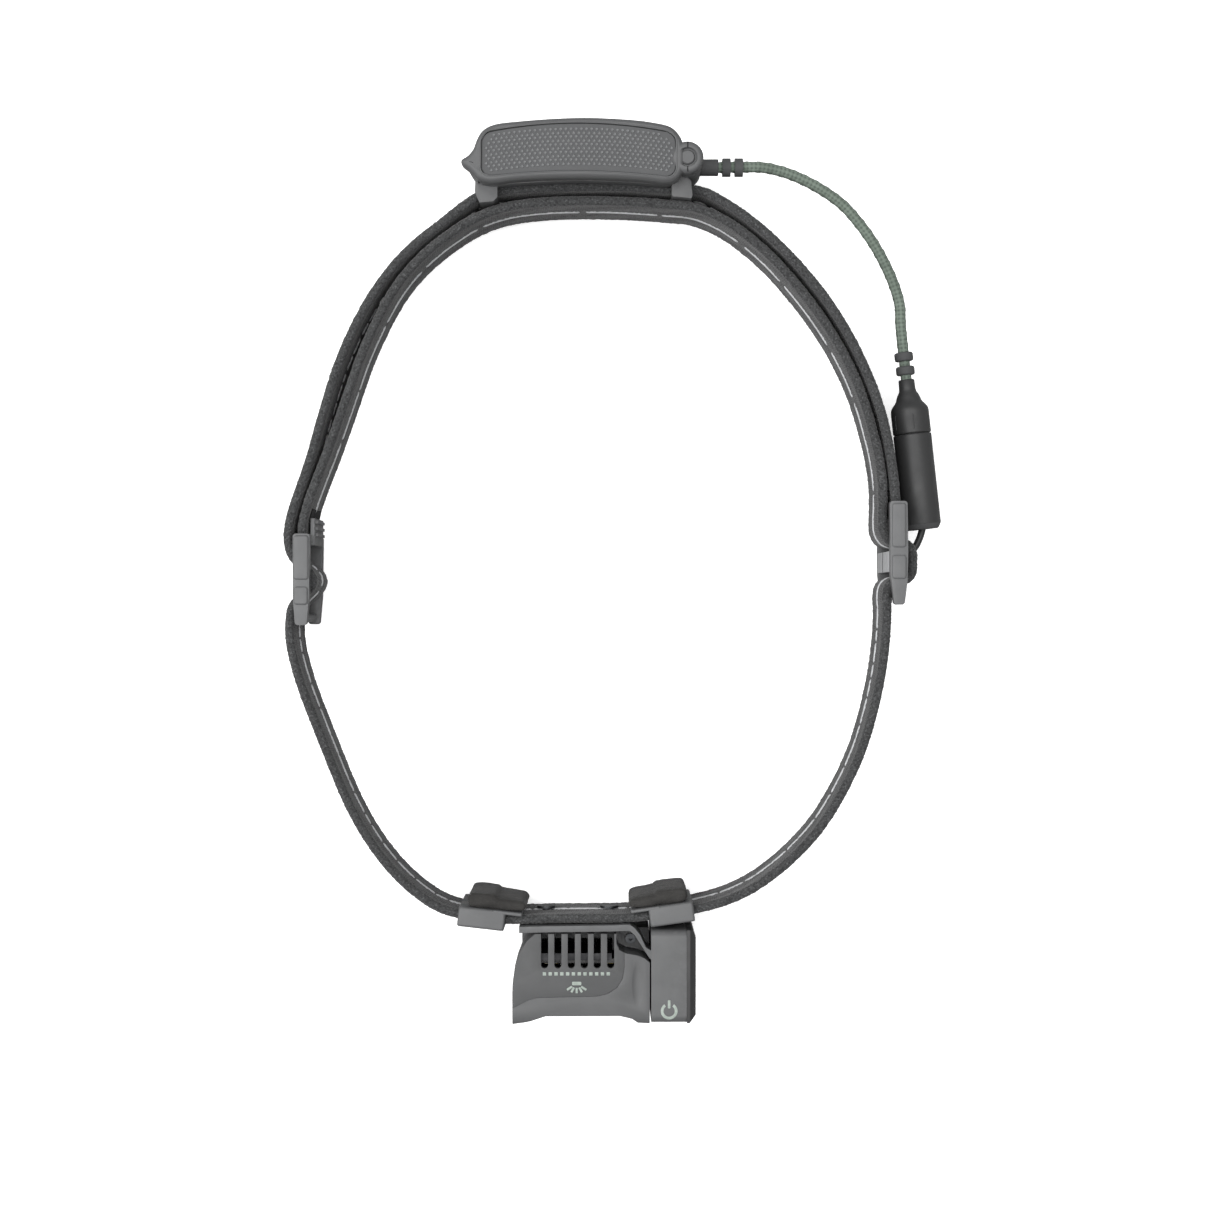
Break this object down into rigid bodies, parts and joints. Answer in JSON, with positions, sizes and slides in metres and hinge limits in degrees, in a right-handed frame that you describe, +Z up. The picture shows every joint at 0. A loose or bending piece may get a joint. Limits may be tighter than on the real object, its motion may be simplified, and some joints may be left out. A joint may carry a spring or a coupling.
{
  "type": "headlamp",
  "caption": "Headlamp on an elastic headband, with a tilting lamp head at the front and a lidded battery box at the back joined by a braided lead with an in-line connector.",
  "frame": {"origin": "centre of the headband opening at mid height of the band", "axes": "+Z up when worn, +Y to the back of the head (battery box), the lamp shines towards -Y, +X to the wearer's left"},
  "size_m": [0.1862, 0.2518, 0.04],
  "materials": {
    "webbing": "woven elastic",
    "pad_foam": "brushed foam laminate",
    "housing_plastic": "fine spark-eroded",
    "cover_plastic": "fine spark-eroded",
    "adjuster_plastic": "satin moulded",
    "box_plastic": "satin moulded",
    "grip_rubber": "dimpled",
    "soft_rubber": "matt",
    "connector_plastic": "semi-gloss",
    "cable_braid": "braided",
    "wire_jacket": "smooth",
    "clear_lens": "polished",
    "reflector_chrome": "mirror",
    "led_phosphor": "glossy",
    "board": "solder mask",
    "switch_metal": "satin",
    "sink_aluminium": "raw",
    "steel": "satin",
    "pin_plastic": "satin",
    "brass": "plain",
    "cell_wrap": "shrink film"
  },
  "bodies": {
    "root": {"headband_strap": "webbing", "lamp_lead": "wire_jacket", "strap_adjuster_right": "adjuster_plastic", "strap_adjuster_left": "adjuster_plastic", "lamp_bracket": "housing_plastic", "bracket_rivets": "steel", "block_end_cap": "housing_plastic", "button_membrane": "soft_rubber", "tact_switch": "switch_metal", "driver_board": "board", "end_cap_screws": "steel", "band_clip_right": "adjuster_plastic", "band_clip_left": "adjuster_plastic", "forehead_pad_right": "pad_foam", "forehead_pad_left": "pad_foam", "battery_box": "box_plastic", "lid_gasket": "soft_rubber", "lid_pin": "pin_plastic", "battery_cells": "cell_wrap", "contact_springs": "steel", "contact_plates": "steel", "contact_board": "board", "cable_gland": "soft_rubber", "battery_cable": "cable_braid", "plug_body": "connector_plastic", "plug_pins": "brass", "plug_seal": "soft_rubber", "socket_body": "connector_plastic", "socket_contacts": "connector_plastic"},
    "lamp_head": {"lamp_housing": "housing_plastic", "lamp_top_cover": "cover_plastic", "front_bezel": "cover_plastic", "bezel_gasket": "soft_rubber", "spot_lens": "clear_lens", "flood_lens": "clear_lens", "spot_reflector": "reflector_chrome", "flood_reflector": "reflector_chrome", "spot_led": "led_phosphor", "flood_led": "led_phosphor", "led_board": "board", "heat_sink": "sink_aluminium", "pivot_bush": "brass", "lamp_wires": "wire_jacket", "housing_screws": "steel", "pivot_screw": "steel"},
    "lid": {"battery_lid": "box_plastic", "lid_grip_inlay": "grip_rubber"},
    "button": {"power_button": "housing_plastic"}
  },
  "joints": [
    {"name": "lamp_tilt", "type": "hinge", "parent": "root", "child": "lamp_head", "pos_m": [0, -0.1095, -0.0115], "axis": [1, 0, 0], "range_deg": [0, 60]},
    {"name": "lid_swing", "type": "hinge", "parent": "root", "child": "lid", "pos_m": [0.0256, 0.1109, 0.0203], "axis": [0, 0, 1], "range_deg": [-100, 0]},
    {"name": "button_press", "type": "slide", "parent": "root", "child": "button", "axis": [-1, 0, 0], "range_m": [0, 0.0009], "stiffness_N_per_m": 400}
  ]
}
